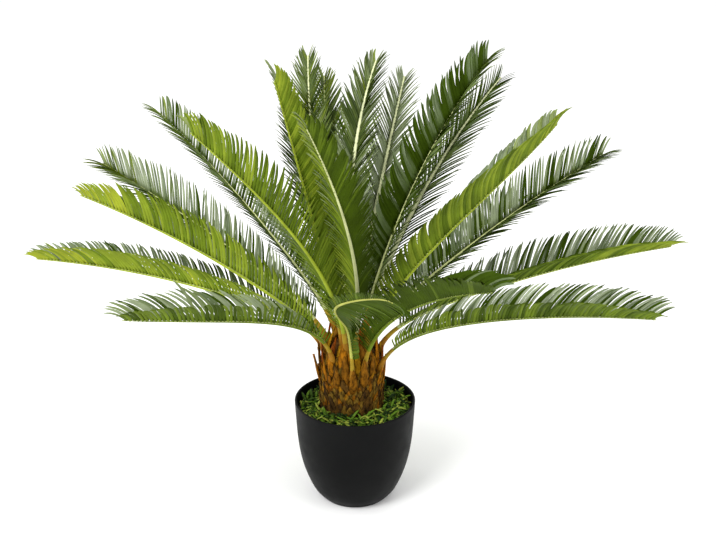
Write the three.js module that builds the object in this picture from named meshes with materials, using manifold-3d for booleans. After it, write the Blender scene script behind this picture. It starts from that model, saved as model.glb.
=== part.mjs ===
// Potted artificial cycad: a round plastic pot with a cast filling and a moss top, a scaly trunk,
// and a crown of arching fronds with two folded rows of leaflets each.
// Millimetres, +Z up, origin in the middle of the pot's underside.

import * as THREE from 'three';
import { mergeVertices } from 'three/addons/utils/BufferGeometryUtils.js';
import Module from 'manifold-3d';

const CLEARANCE = 0.3;
const WELD_DISTANCE = 0.001;

const POT = {
  height: 150,
  rimRadius: 85,
  footRadius: 46,
  wall: 3,
  floor: 4,
  lip: 1.2,
  sides: 36,
  rows: 12,
  samples: 120,
  // Outer radius and height at some places between the foot and the rim.
  swell: [[49, 2.5], [61, 18], [73.5, 50], [80.5, 85], [84, 128]],
};

const FILLING_TOP = 132;

const MOSS = {
  innerRadius: 49.5,
  sides: 44,
  rings: 5,
  depth: 5,
  mound: 8,
  tuft: 8,
  shortest: 0.4,
};

const TRUNK = {
  offsetX: -5,
  footRadius: 45,
  radius: 46,
  domeBase: 186,
  domeRise: 62,
  sides: 30,
  wallRings: 7,
  domeRings: 6,
  scaleRelief: 2.2,
};

// Dry pointed leaf bases that stand round the top of the trunk.
const STUB = {
  count: 34,
  lowest: 172,
  step: 1.4,
  length: 24,
  width: 11,
  thickness: 6,
  lean: 16,
  sink: 5,
  inset: 1,
  // Where along its length a leaf base starts to narrow to its point, and its breadth there.
  shoulderAt: 0.45,
  shoulder: 0.8,
  // Room that a leaf base leaves to the foot of a frond.
  room: 1.5,
};

const RIB = {
  footWidth: 4.4,
  tipWidth: 1.5,
  footHeight: 7.4,
  tipHeight: 2.7,
  footSteps: 6,
  steps: 60,
  sink: 5,
  // The stalk leaves the trunk this steeply and then bends over.
  steepFoot: 78,
};

const LEAFLET = {
  perSide: 14,
  firstAt: 0.1,
  lastAt: 0.985,
  rootShare: 0.42,
  length: 53,
  width: 19,
  slimmest: 0.2,
  thickness: 1.3,
  widestAt: 0.5,
  // Length as a share of the full one, at shares of the rib.
  growth: [[0.1, 0.44], [0.29, 0.89], [0.51, 1.09], [0.71, 1.12], [0.85, 1], [0.94, 0.8], [1, 0.36]],
  // How much less the last leaflets stand off the rib, and how late along it that comes.
  sweepLoss: 28,
  lossPower: 4,
  // How far a leaflet's tip bends forward, and droops, as shares of its length.
  forward: 0.17,
  droop: 0.26,
  gap: 0.6,
  shorter: [1, 0.75, 0.5, 0.3],
};

// What every frond has unless its row says otherwise: how steeply its two rows fold up, the angle
// between leaflet and rib, how much longer its leaflets are, the share of its length over which the
// stalk bends over, how sharply, and how far its heading swings out and back.
const FROND_RULE = { fold: 56, sweep: 60, reach: 1, bendShare: 0.07, bendPower: 1, swing: 0 };

// Every frond: heading, rise, arch, sway and roll in degrees, length along the rib, distance of its foot
// from the trunk's axis, and its own values for the rule. Headings run round from +X, arch is how far the
// rib bends down and sway how far it bends to the left, both over its whole length, and roll lifts its
// left row of leaflets and lowers its right one.
const FRONDS = {
  low: [
    [158, 15.6, 14.4, 13.2, 21, 458, 41, { fold: 66 }],
    [228, 10.5, -5.5, -12.3, 3, 384, 38, { fold: 64, bendShare: 0.19 }],
    [272, 50, 34.7, 6.9, -45, 403, 45, { fold: 20, bendShare: 0.25, bendPower: 8, swing: -23.4 }],
    [294.5, 42.9, 22.1, 7, 0, 400, 42, { bendShare: 0.15 }],
    [335, 22.4, 12.3, -9, 3, 436, 44, { fold: 66, bendShare: 0.12 }],
    [22.6, 15, 9.3, -14, 7, 467, 41, { fold: 66, reach: 1.1 }],
    [50, 24, 18, 0, 0, 390, 41],
    [82, 26, 20, 0, 0, 380, 41],
    [113, 25, 20, 0, 0, 380, 41],
    [143, 24, 18, 0, 0, 390, 41],
  ],
  middle: [
    [158, 35.5, 18.5, -11.2, -22, 437, 34],
    [180, 42.4, 24, -11.5, 40, 408, 36, { fold: 66 }],
    [257.9, 65.9, 21.9, -78.4, 30, 438, 31],
    [281, 58.7, 0, -50, 2, 445, 29, { sweep: 50 }],
    [316.4, 65.2, 35.4, 89.3, -22, 430, 28],
    [27, 34, 11, -2.5, 21.5, 440, 34],
    [50.4, 59, 30, -2.4, 40, 445, 27, { fold: 66, sweep: 50 }],
    [137, 39.3, 14, 0, -8, 450, 28],
  ],
  top: [
    [238, 71, -2, -16, -6, 423, 22, { sweep: 50 }],
    [116, 54.7, 6.4, -24.8, -9, 421, 19, { sweep: 50 }],
    [107.2, 56.4, 17.2, -16, 3, 399, 9, { sweep: 50 }],
    [96.7, 68.3, 28.8, -28.5, 6, 414, 24.5, { sweep: 50 }],
    [73, 54, 21.6, 4.3, 10, 419, 15, { sweep: 50 }],
    [40.2, 71.9, 28.2, -3.6, 12, 428, 20, { sweep: 58 }],
    [112.4, 50.5, 23.1, -12.3, 0, 376, 33],
  ],
};

const wasm = await Module();
wasm.setup();
const radians = THREE.MathUtils.degToRad;
const lerp = THREE.MathUtils.lerp;

function finish(colour, roughness) {
  return new THREE.MeshStandardMaterial({ color: colour, roughness, metalness: 0, flatShading: true });
}

// A repeatable number between 0 and 1 for each index.
function chance(index) {
  return THREE.MathUtils.seededRandom(index + 1);
}

// Joins shared corners, drops flat triangles and leaves a closed mesh with only positions.
function closedMesh(geometry) {
  geometry.deleteAttribute('normal');
  geometry.deleteAttribute('uv');
  const merged = mergeVertices(geometry, WELD_DISTANCE);
  const corners = merged.index.array;
  const kept = [];
  for (let i = 0; i < corners.length; i += 3) {
    const [a, b, c] = corners.slice(i, i + 3);
    if (a !== b && b !== c && c !== a) kept.push(a, b, c);
  }
  merged.setIndex(kept);
  return merged;
}

function meshOf(points, triangles) {
  const geometry = new THREE.BufferGeometry();
  const numbers = points.flatMap((p) => [p.x, p.y, p.z]);
  geometry.setAttribute('position', new THREE.Float32BufferAttribute(numbers, 3));
  geometry.setIndex(triangles);
  return geometry;
}

function solidOf(geometry) {
  const vertProperties = new Float32Array(geometry.attributes.position.array);
  const triVerts = new Uint32Array(geometry.index.array);
  return new wasm.Manifold(new wasm.Mesh({ numProp: 3, vertProperties, triVerts }));
}

function geometryOf(solid) {
  const mesh = solid.getMesh();
  const geometry = new THREE.BufferGeometry();
  const positions = new Float32Array(mesh.numVert * 3);
  for (let i = 0; i < mesh.numVert; i += 1) {
    for (let axis = 0; axis < 3; axis += 1) {
      positions[i * 3 + axis] = mesh.vertProperties[i * mesh.numProp + axis];
    }
  }
  geometry.setAttribute('position', new THREE.BufferAttribute(positions, 3));
  geometry.setIndex([...mesh.triVerts]);
  return geometry;
}

// The largest shell of a solid: loose scraps and sealed hollows left by joining or cutting are dropped.
function outerShell(geometry) {
  const corners = geometry.index.array;
  const parent = Array.from({ length: geometry.attributes.position.count }, (_, i) => i);
  const rootOf = (i) => {
    let root = i;
    while (parent[root] !== root) root = parent[root];
    parent[i] = root;
    return root;
  };
  for (let i = 0; i < corners.length; i += 3) {
    parent[rootOf(corners[i])] = rootOf(corners[i + 1]);
    parent[rootOf(corners[i + 1])] = rootOf(corners[i + 2]);
  }
  const shells = new Map();
  const [a, b, c] = [new THREE.Vector3(), new THREE.Vector3(), new THREE.Vector3()];
  for (let i = 0; i < corners.length; i += 3) {
    const shell = shells.get(rootOf(corners[i])) ?? { volume: 0, triangles: [] };
    [a, b, c].forEach((p, k) => p.fromBufferAttribute(geometry.attributes.position, corners[i + k]));
    shell.volume += a.dot(b.cross(c)) / 6;
    shell.triangles.push(corners[i], corners[i + 1], corners[i + 2]);
    shells.set(rootOf(corners[i]), shell);
  }
  const largest = [...shells.values()].reduce((one, other) => (one.volume > other.volume ? one : other));
  geometry.setIndex(largest.triangles);
  return geometry;
}

// Turns a profile of [radius, height] pairs, from the axis round to the axis, about +Z.
function turned(profile, sides) {
  const points = profile.map(([radius, height]) => new THREE.Vector2(radius, height));
  const geometry = new THREE.LatheGeometry(points, sides);
  geometry.rotateX(Math.PI / 2);
  return closedMesh(geometry);
}

// Heights and radii up the pot's outside, smooth between the driving points.
const potOutline = new THREE.SplineCurve([
  [POT.footRadius, 0],
  ...POT.swell,
  [POT.rimRadius, POT.height - POT.lip],
].map(([radius, height]) => new THREE.Vector2(radius, height)));

function potRadius(height) {
  const points = potOutline.getPoints(POT.samples);
  const above = points.findIndex((p) => p.y >= height);
  if (above <= 0) return POT.footRadius;
  const [a, b] = [points[above - 1], points[above]];
  return lerp(a.x, b.x, (height - a.y) / (b.y - a.y));
}

// Heights of the pot's driving points between two levels, with the levels themselves.
function potLevels(bottom, top) {
  const between = POT.swell.map(([, height]) => height).filter((height) => height > bottom && height < top);
  return [bottom, ...between, top];
}

function pot() {
  const outer = potOutline.getPoints(POT.rows).map((p) => [p.x, p.y]);
  const levels = potLevels(POT.floor, POT.height - POT.lip).reverse();
  const inner = levels.map((height) => [potRadius(height) - POT.wall, height]);
  const lipRadius = POT.rimRadius - POT.wall / 2;
  const profile = [
    [0, 0],
    ...outer,
    [lipRadius + POT.lip / 2, POT.height],
    [lipRadius - POT.lip / 2, POT.height],
    ...inner,
    [0, POT.floor],
  ];
  return turned(profile, POT.sides);
}

function filling() {
  const inset = POT.wall + CLEARANCE * 2;
  const bottom = POT.floor + CLEARANCE;
  const side = potLevels(bottom, FILLING_TOP).map((height) => [potRadius(height) - inset, height]);
  return turned([[0, bottom], ...side, [0, FILLING_TOP]], POT.sides);
}

// A ring of short tufts between the trunk and the pot, banked up round the trunk.
function moss() {
  const bottom = FILLING_TOP + CLEARANCE;
  const outerRadius = (potRadius(FILLING_TOP) - POT.wall) * Math.cos(Math.PI / POT.sides) - CLEARANCE;
  const points = [];
  const triangles = [];
  const { sides, rings } = MOSS;
  for (let level = 0; level < 2; level += 1) {
    for (let ring = 0; ring <= rings; ring += 1) {
      for (let side = 0; side < sides; side += 1) {
        const turn = (side / sides) * Math.PI * 2;
        const out = ring / rings;
        const inside = new THREE.Vector2(Math.cos(turn), Math.sin(turn)).multiplyScalar(MOSS.innerRadius);
        inside.x += TRUNK.offsetX;
        const outside = new THREE.Vector2(Math.cos(turn), Math.sin(turn)).multiplyScalar(outerRadius);
        const place = inside.lerp(outside, out);
        const blade = MOSS.tuft * lerp(MOSS.shortest, 1, chance(ring * sides + side));
        const tuft = (ring + side) % 2 ? blade : 0;
        const top = bottom + MOSS.depth + MOSS.mound * (1 - out) ** 2 + tuft;
        points.push(new THREE.Vector3(place.x, place.y, level ? top : bottom));
      }
    }
  }
  const at = (level, ring, side) => (level * (rings + 1) + ring) * sides + (side % sides);
  const quad = (a, b, c, d) => triangles.push(a, b, c, a, c, d);
  for (let side = 0; side < sides; side += 1) {
    for (let ring = 0; ring < rings; ring += 1) {
      quad(at(1, ring, side), at(1, ring + 1, side), at(1, ring + 1, side + 1), at(1, ring, side + 1));
      quad(at(0, ring, side), at(0, ring, side + 1), at(0, ring + 1, side + 1), at(0, ring + 1, side));
    }
    quad(at(0, 0, side), at(1, 0, side), at(1, 0, side + 1), at(0, 0, side + 1));
    quad(at(0, rings, side), at(0, rings, side + 1), at(1, rings, side + 1), at(1, rings, side));
  }
  return meshOf(points, triangles);
}

function domeHeight(radius) {
  return TRUNK.domeBase + TRUNK.domeRise * Math.sqrt(Math.max(0, 1 - (radius / TRUNK.radius) ** 2));
}

// The trunk's core: a flat foot, a nearly straight wall and a domed top, with staggered diamond scales.
function trunkCore(grow) {
  const foot = FILLING_TOP + CLEARANCE;
  const rows = [];
  for (let ring = 0; ring <= TRUNK.wallRings; ring += 1) {
    const up = ring / TRUNK.wallRings;
    const radius = lerp(TRUNK.footRadius, TRUNK.radius, Math.sin(up * Math.PI / 2));
    rows.push([radius, lerp(foot, TRUNK.domeBase, up)]);
  }
  for (let ring = 1; ring < TRUNK.domeRings; ring += 1) {
    const turn = (ring / TRUNK.domeRings) * Math.PI / 2;
    const height = TRUNK.domeBase + TRUNK.domeRise * Math.sin(turn);
    rows.push([TRUNK.radius * Math.cos(turn), height]);
  }
  const wall = rows.map(([radius, height], i) => [radius + grow, i ? height : height - grow]);
  const core = turned([[0, foot - grow], ...wall, [0, TRUNK.domeBase + TRUNK.domeRise + grow]], TRUNK.sides);
  const place = core.attributes.position;
  for (let i = 0; i < place.count; i += 1) {
    const [x, y, z] = [place.getX(i), place.getY(i), place.getZ(i)];
    const side = Math.round((Math.atan2(x, -y) / (Math.PI * 2)) * TRUNK.sides);
    const ring = Math.round(((z - foot) / (TRUNK.domeBase - foot)) * TRUNK.wallRings);
    if (ring > 0 && ring <= TRUNK.wallRings) {
      const proud = (ring + side) % 2 ? TRUNK.scaleRelief : -TRUNK.scaleRelief / 2;
      const scale = 1 + proud / Math.hypot(x, y);
      place.setXY(i, x * scale, y * scale);
    }
  }
  core.translate(TRUNK.offsetX, 0, 0);
  return core;
}

// One dry leaf base: a four-sided wedge that leans out of the trunk and narrows to a point.
function stub(heading, height, grow) {
  const out = new THREE.Vector3(Math.cos(heading), Math.sin(heading), 0);
  const side = new THREE.Vector3(-out.y, out.x, 0);
  const lean = radians(STUB.lean);
  const along = out.clone().multiplyScalar(Math.sin(lean)).setZ(Math.cos(lean));
  const face = out.clone().multiplyScalar(Math.cos(lean)).setZ(-Math.sin(lean));
  const wide = STUB.width / 2 + grow;
  const thick = STUB.thickness / 2 + grow;
  const climb = Math.max(0, (height - TRUNK.domeBase) / TRUNK.domeRise);
  const seatRadius = TRUNK.radius * Math.sqrt(1 - climb ** 2) - STUB.inset;
  const seat = out.clone().multiplyScalar(seatRadius).setZ(height);
  seat.x += TRUNK.offsetX;
  const ring = [[-1, -1], [1, -1], [1, 1], [-1, 1]];
  const corner = (start, spread) => ring.map(([s, f]) => seat.clone().addScaledVector(along, start)
    .addScaledVector(side, s * wide * spread).addScaledVector(face, f * thick * spread));
  const points = [...corner(-STUB.sink, 1), ...corner(STUB.length * STUB.shoulderAt, STUB.shoulder)];
  points.push(seat.clone().addScaledVector(along, STUB.length + grow));
  const triangles = [0, 1, 2, 0, 2, 3];
  for (let i = 0; i < 4; i += 1) {
    const next = (i + 1) % 4;
    triangles.push(i, 4 + next, next, i, 4 + i, 4 + next, 4 + i, 8, 4 + next);
  }
  return solidOf(meshOf(points, triangles));
}

// Places of the dry leaf bases, in a spiral up the top of the trunk, without those that a frond's foot
// takes.
function stubPlaces(fronds) {
  const goldenTurn = Math.PI * (3 - Math.sqrt(5));
  const places = [];
  for (let i = 0; i < STUB.count; i += 1) {
    const [heading, height] = [i * goldenTurn, STUB.lowest + i * STUB.step];
    const one = stub(heading, height, 0);
    const clear = fronds.every((frond) => frond.bare.minGap(one, STUB.room * 2) > STUB.room);
    if (clear) places.push([heading, height]);
  }
  return places;
}

// The trunk with its leaf bases, or with grow the space that it takes with some room round it.
function trunk(places, grow) {
  const stubs = places.map(([heading, height]) => stub(heading, height, grow));
  return stubs.reduce((solid, one) => solid.add(one), solidOf(trunkCore(grow)));
}

// Direction of a rib and its side and upper directions at a share of its length.
function ribFrame(frond, share) {
  const bent = Math.sign(share) * (Math.abs(share) / frond.bendShare) ** frond.bendPower;
  const foot = Math.max(RIB.steepFoot - frond.rise, 0) * Math.exp(-bent);
  const climb = radians(frond.rise - frond.arch * share + foot);
  const swing = frond.swing * Math.sin(share * Math.PI * 2);
  const heading = radians(frond.heading + frond.sway * share + swing);
  const along = new THREE.Vector3(Math.cos(heading), Math.sin(heading), 0).multiplyScalar(Math.cos(climb));
  along.z = Math.sin(climb);
  const side = new THREE.Vector3(-Math.sin(heading), Math.cos(heading), 0);
  side.applyAxisAngle(along, radians(frond.roll));
  return { along, side, up: along.clone().cross(side) };
}

function ribPoint(frond, share) {
  const heading = radians(frond.heading);
  const point = new THREE.Vector3(Math.cos(heading), Math.sin(heading), 0).multiplyScalar(frond.foot);
  point.x += TRUNK.offsetX;
  point.z = domeHeight(frond.foot);
  for (let i = 0; i < RIB.steps; i += 1) {
    const middle = (share * (i + 0.5)) / RIB.steps;
    point.addScaledVector(ribFrame(frond, middle).along, (frond.length * share) / RIB.steps);
  }
  return point;
}

// A frond's rib as stations with three corners each: left top, right top and keel.
function ribStation(frond, share) {
  const { along, side, up } = ribFrame(frond, Math.max(share, 0));
  const centre = ribPoint(frond, share);
  const wide = lerp(RIB.footWidth, RIB.tipWidth, Math.max(share, 0)) / 2;
  const high = lerp(RIB.footHeight, RIB.tipHeight, Math.max(share, 0)) / 2;
  const corners = [[1, 1], [-1, 1], [0, -1]].map(([s, u]) => centre.clone()
    .addScaledVector(side, s * wide).addScaledVector(up, u * high));
  return { share, along, side, up, corners };
}

function ribStations(frond) {
  const shares = [-RIB.sink / frond.length];
  for (let i = 0; i < RIB.footSteps; i += 1) shares.push((LEAFLET.firstAt * i) / RIB.footSteps);
  const pitch = (LEAFLET.lastAt - LEAFLET.firstAt) / LEAFLET.perSide;
  for (let i = 0; i < LEAFLET.perSide; i += 1) {
    const start = LEAFLET.firstAt + pitch * i;
    shares.push(start, start + pitch * LEAFLET.rootShare);
  }
  shares.push(1);
  return shares.map((share) => ribStation(frond, share));
}

// Leaflets are short by the stalk, longest past the middle and short again at the tip.
function leafletLength(share) {
  const next = Math.max(1, LEAFLET.growth.findIndex(([place]) => place >= share));
  const [[from, low], [to, high]] = LEAFLET.growth.slice(next - 1, next + 1);
  return LEAFLET.length * lerp(low, high, (share - from) / (to - from));
}

// The widest section and the tip of one leaflet that grows from the rib between two stations, bends
// forward and droops.
function leafletPoints(frond, from, to, sideSign, factor) {
  const share = (from.share + to.share) / 2;
  const sweep = radians(frond.sweep - LEAFLET.sweepLoss * share ** LEAFLET.lossPower);
  const fold = radians(frond.fold);
  const outward = from.side.clone().multiplyScalar(sideSign * Math.cos(fold));
  outward.addScaledVector(from.up, Math.sin(fold));
  const along = from.along.clone().multiplyScalar(Math.cos(sweep)).addScaledVector(outward, Math.sin(sweep));
  const across = from.along.clone().addScaledVector(along, -from.along.dot(along)).normalize();
  const face = from.along.clone().cross(outward).multiplyScalar(sideSign);
  const upper = sideSign > 0 ? 0 : 1;
  const root = [from.corners[upper], to.corners[upper], to.corners[2], from.corners[2]];
  const seat = root.reduce((sum, p) => sum.add(p), new THREE.Vector3()).multiplyScalar(1 / root.length);
  const length = leafletLength(share) * frond.reach * factor;
  const placeAt = (s) => seat.clone().addScaledVector(along, length * s)
    .addScaledVector(across, length * LEAFLET.forward * s ** 3)
    .addScaledVector(face, -length * LEAFLET.droop * s ** 2);
  const wide = (LEAFLET.width / 2) * Math.min(1, lerp(LEAFLET.slimmest, 1, length / LEAFLET.length));
  const middle = placeAt(LEAFLET.widestAt);
  const widest = [[-1, 1], [1, 1], [1, -1], [-1, -1]].map(([a, f]) => middle.clone()
    .addScaledVector(across, a * wide).addScaledVector(face, f * LEAFLET.thickness / 2));
  return { root, widest, tip: placeAt(1) };
}

// Triangles of a leaflet over corner numbers: four sides up to its widest section, then four to the tip.
function leafletTriangles(root, widest, tip, sideSign) {
  const triangles = [];
  for (let i = 0; i < 4; i += 1) {
    const next = (i + 1) % 4;
    const [a, b] = sideSign > 0 ? [next, i] : [i, next];
    triangles.push(root[b], root[a], widest[a], root[b], widest[a], widest[b], widest[b], widest[a], tip);
  }
  return triangles;
}

function leafletSolid(leaflet, sideSign) {
  const points = [...leaflet.root, ...leaflet.widest, leaflet.tip];
  const triangles = leafletTriangles([0, 1, 2, 3], [4, 5, 6, 7], 8, sideSign);
  triangles.push(...(sideSign > 0 ? [2, 1, 0, 3, 2, 0] : [0, 1, 2, 0, 2, 3]));
  return solidOf(meshOf(points, triangles));
}

// The closed mesh of a rib, with the leaflets that were kept drawn out of its two sides.
function frondMesh(stations, leaflets) {
  const points = stations.flatMap((station) => station.corners);
  const triangles = [];
  const quad = (a, b, c, d) => triangles.push(a, b, c, a, c, d);
  triangles.push(2, 1, 0);
  for (let i = 0; i + 1 < stations.length; i += 1) {
    const here = [0, 1, 2].map((corner) => i * 3 + corner);
    const next = here.map((corner) => corner + 3);
    quad(here[0], here[1], next[1], next[0]);
    for (const sideSign of [1, -1]) {
      const upper = sideSign > 0 ? 0 : 1;
      const leaflet = leaflets.find((one) => one.station === i && one.sideSign === sideSign);
      const root = [here[upper], next[upper], next[2], here[2]];
      if (leaflet) {
        const first = points.length;
        points.push(...leaflet.shape.widest, leaflet.shape.tip);
        const widest = [0, 1, 2, 3].map((corner) => first + corner);
        triangles.push(...leafletTriangles(root, widest, first + 4, sideSign));
      } else if (sideSign > 0) {
        quad(...root);
      } else {
        quad(root[0], root[3], root[2], root[1]);
      }
    }
  }
  const last = (stations.length - 1) * 3;
  triangles.push(last, last + 1, last + 2);
  return meshOf(points, triangles);
}

function boxesMeet(a, b, margin) {
  return [0, 1, 2].every((axis) => a.min[axis] - margin < b.max[axis] && b.min[axis] - margin < a.max[axis]);
}

// Gives each frond its leaflets from the stalk outwards, shorter or none where they would touch another
// frond or the trunk.
function growLeaflets(fronds, limbs) {
  const placed = limbs.map((solid) => ({ solid, box: solid.boundingBox(), frond: null }));
  fronds.forEach((frond) => placed.push({ solid: frond.bare, box: frond.bare.boundingBox(), frond }));
  for (let rank = 0; rank < LEAFLET.perSide; rank += 1) {
    const station = RIB.footSteps + 1 + rank * 2;
    for (const frond of fronds) {
      for (const sideSign of [1, -1]) {
        for (const factor of LEAFLET.shorter) {
          const [from, to] = frond.stations.slice(station, station + 2);
          const shape = leafletPoints(frond, from, to, sideSign, factor);
          const solid = leafletSolid(shape, sideSign);
          const box = solid.boundingBox();
          const others = placed.filter((other) => other.frond !== frond);
          const near = others.filter((other) => boxesMeet(box, other.box, LEAFLET.gap));
          if (near.every((other) => other.solid.minGap(solid, LEAFLET.gap * 2) > LEAFLET.gap)) {
            frond.leaflets.push({ station, sideSign, shape });
            placed.push({ solid, box, frond });
            break;
          }
        }
      }
    }
  }
}

const colours = {
  pot: finish(0x242527, 0.62),
  filling: finish(0x8b8880, 0.95),
  moss: finish(0x5f7a22, 0.9),
  trunk: finish(0x8f5a1c, 0.85),
  frond: finish(0x5d8a2c, 0.5),
};

const fronds = Object.entries(FRONDS).flatMap(([tier, rows]) => rows.map((row, i) => {
  const [heading, rise, arch, sway, roll, length, foot, own] = row;
  const name = `frond_${tier}_${i + 1}`;
  const frond = { ...FROND_RULE, name, heading, rise, arch, sway, roll, length, foot, ...own, leaflets: [] };
  frond.stations = ribStations(frond);
  frond.bare = solidOf(frondMesh(frond.stations, []));
  return frond;
}));

const leafBases = stubPlaces(fronds);
const trunkSpace = trunk(leafBases, CLEARANCE);
growLeaflets(fronds, [trunkSpace]);

const plant = new THREE.Group();

function addPart(name, geometry, material) {
  const mesh = new THREE.Mesh(geometry, material);
  mesh.name = name;
  plant.add(mesh);
}

addPart('pot', pot(), colours.pot);
addPart('filling', filling(), colours.filling);
addPart('moss', moss(), colours.moss);
addPart('trunk', outerShell(geometryOf(trunk(leafBases, 0))), colours.trunk);
for (const frond of fronds) {
  const whole = solidOf(frondMesh(frond.stations, frond.leaflets));
  addPart(frond.name, outerShell(geometryOf(whole.subtract(trunkSpace))), colours.frond);
}

export default plant;
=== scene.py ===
import math

import bmesh
import bpy
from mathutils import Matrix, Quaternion, Vector, noise


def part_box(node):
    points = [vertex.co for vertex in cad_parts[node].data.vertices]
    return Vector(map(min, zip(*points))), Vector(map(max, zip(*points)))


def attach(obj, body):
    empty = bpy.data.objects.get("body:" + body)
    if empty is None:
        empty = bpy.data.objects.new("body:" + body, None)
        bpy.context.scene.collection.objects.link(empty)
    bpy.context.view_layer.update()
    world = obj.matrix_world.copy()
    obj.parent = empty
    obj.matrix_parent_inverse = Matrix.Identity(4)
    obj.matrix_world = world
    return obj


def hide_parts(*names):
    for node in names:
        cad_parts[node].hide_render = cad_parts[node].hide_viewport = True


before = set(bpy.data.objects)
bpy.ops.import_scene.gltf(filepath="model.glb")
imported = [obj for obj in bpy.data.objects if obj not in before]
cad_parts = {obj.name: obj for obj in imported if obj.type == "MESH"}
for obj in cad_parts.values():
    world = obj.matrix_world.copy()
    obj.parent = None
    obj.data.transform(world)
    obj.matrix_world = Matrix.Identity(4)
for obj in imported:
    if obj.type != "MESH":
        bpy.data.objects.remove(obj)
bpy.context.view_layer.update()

# Places taken from the solids, in metres like everything below
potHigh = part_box("pot")[1]
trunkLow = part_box("trunk")[0]
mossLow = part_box("moss")[0]
print("frame loaded with", len(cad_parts), "nodes")


def plug(tree, value, socket):
    # Links another node's socket, or sets a plain value
    if isinstance(value, bpy.types.NodeSocket):
        tree.links.new(value, socket)
    else:
        socket.default_value = value


def addNode(tree, kind, inputs=None, **settings):
    node = tree.nodes.new(kind)
    for name, value in settings.items():
        setattr(node, name, value)
    for name, value in (inputs or {}).items():
        plug(tree, value, next(s for s in node.inputs if s.name == name and s.enabled))
    return node


class NodeMaker:
    # Short hand for a Geometry Nodes tree, with the names of its inputs under each kind

    def __init__(self, name, inputs):
        self.tree = bpy.data.node_groups.new(name, "GeometryNodeTree")
        sockets = self.tree.interface
        sockets.new_socket("Geometry", in_out="INPUT", socket_type="NodeSocketGeometry")
        for kind, labels in inputs.items():
            for label in labels:
                sockets.new_socket(label, in_out="INPUT", socket_type="NodeSocket" + kind)
        sockets.new_socket("Geometry", in_out="OUTPUT", socket_type="NodeSocketGeometry")
        self.given = self.tree.nodes.new("NodeGroupInput").outputs
        self.result = self.tree.nodes.new("NodeGroupOutput").inputs[0]

    def endWith(self, geometry):
        plug(self.tree, geometry, self.result)
        return self

    def add(self, kind, inputs=None, **settings):
        return addNode(self.tree, kind, inputs, **settings)

    def out(self, kind, inputs=None, **settings):
        node = self.add(kind, inputs, **settings)
        return next(s for s in node.outputs if s.enabled)

    def operate(self, kind, operation, values):
        node = self.add(kind, operation=operation)
        for value, socket in zip(values, node.inputs):
            plug(self.tree, value, socket)
        return next(s for s in node.outputs if s.enabled)

    def math(self, operation, *values):
        return self.operate("ShaderNodeMath", operation, values)

    def vector(self, operation, *values):
        return self.operate("ShaderNodeVectorMath", operation, values)

    def both(self, one, other, operation="AND"):
        return self.operate("FunctionNodeBooleanMath", operation, (one, other))

    def scaled(self, vector, factor):
        return self.out("ShaderNodeVectorMath", {"Vector": vector, "Scale": factor}, operation="SCALE")

    def joinedXYZ(self, x, y, z):
        return self.out("ShaderNodeCombineXYZ", {"X": x, "Y": y, "Z": z})

    def attribute(self, name, kind="FLOAT"):
        return self.out("GeometryNodeInputNamedAttribute", {"Name": name}, data_type=kind)

    def store(self, geometry, name, value, kind):
        given = {"Geometry": geometry, "Name": name, "Value": value}
        return self.out("GeometryNodeStoreNamedAttribute", given, data_type=kind, domain="POINT")

    def random(self, low, high, seed):
        given = {"Min": low, "Max": high, "Seed": seed}
        return self.out("FunctionNodeRandomValue", given, data_type="FLOAT")

    def between(self, value, fromLow, fromHigh, toLow, toHigh):
        given = {"Value": value, "From Min": fromLow, "From Max": fromHigh, "To Min": toLow, "To Max": toHigh}
        return self.out("ShaderNodeMapRange", given, clamp=True)

    def more(self, value, limit):
        return self.out("FunctionNodeCompare", {"A": value, "B": limit}, operation="GREATER_THAN")

    def same(self, value, number):
        given = {"A": value, "B": number}
        return self.out("FunctionNodeCompare", given, data_type="INT", operation="EQUAL")

    def turnedTo(self, along, face):
        # Lays X along one direction and turns Z towards the other
        given = {"Primary Axis": along, "Secondary Axis": face}
        return self.out("FunctionNodeAxesToRotation", given, primary_axis="X", secondary_axis="Z")

    def spun(self, rotation, axis, angle):
        # Turns a rotation on, about an axis of its own
        by = self.out("FunctionNodeAxisAngleToRotation", {"Axis": axis, "Angle": angle})
        given = {"Rotation": rotation, "Rotate By": by}
        return self.out("FunctionNodeRotateRotation", given, rotation_space="LOCAL")

    def copies(self, points, shade, source, rotation, scale, where=True):
        # A copy of an object at each point, with the number of its shade
        shape = self.add("GeometryNodeObjectInfo", {"Object": source, "As Instance": True})
        given = {"Points": self.store(points, "shade", shade, "INT"), "Selection": where,
                 "Instance": shape.outputs["Geometry"], "Rotation": rotation, "Scale": scale}
        return self.out("GeometryNodeInstanceOnPoints", given)

    def realized(self, geometry):
        return self.out("GeometryNodeRealizeInstances", {"Geometry": geometry})

    def paint(self, geometry, finish, where=True):
        given = {"Geometry": geometry, "Selection": where, "Material": finish}
        return self.out("GeometryNodeSetMaterial", given)

    def paintShades(self, geometry, finishes):
        shade = self.attribute("shade", "INT")
        for index, finish in enumerate(finishes):
            geometry = self.paint(geometry, finish, self.same(shade, index))
        return geometry


def newPiece(name, mesh):
    piece = bpy.data.objects.new(name, mesh)
    bpy.context.scene.collection.objects.link(piece)
    return piece


def inputName(key):
    # The value rimZone sets the tree's input Rim Zone
    spaced = "".join(" " + letter if letter.isupper() else letter for letter in key)
    return spaced[0].upper() + spaced[1:]


def runTree(piece, maker, values):
    # Sets the inputs by identifier, evaluates once and leaves a plain mesh
    named = {inputName(key): value for key, value in values.items()}
    modifier = piece.modifiers.new(maker.tree.name, "NODES")
    modifier.node_group = maker.tree
    for item in maker.tree.interface.items_tree:
        if item.in_out == "INPUT" and item.name in named:
            modifier[item.identifier] = named[item.name]
    graph = bpy.context.evaluated_depsgraph_get()
    mesh = bpy.data.meshes.new_from_object(piece.evaluated_get(graph), depsgraph=graph)
    piece.modifiers.remove(modifier)
    piece.data = mesh
    mesh.name = piece.name


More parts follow.
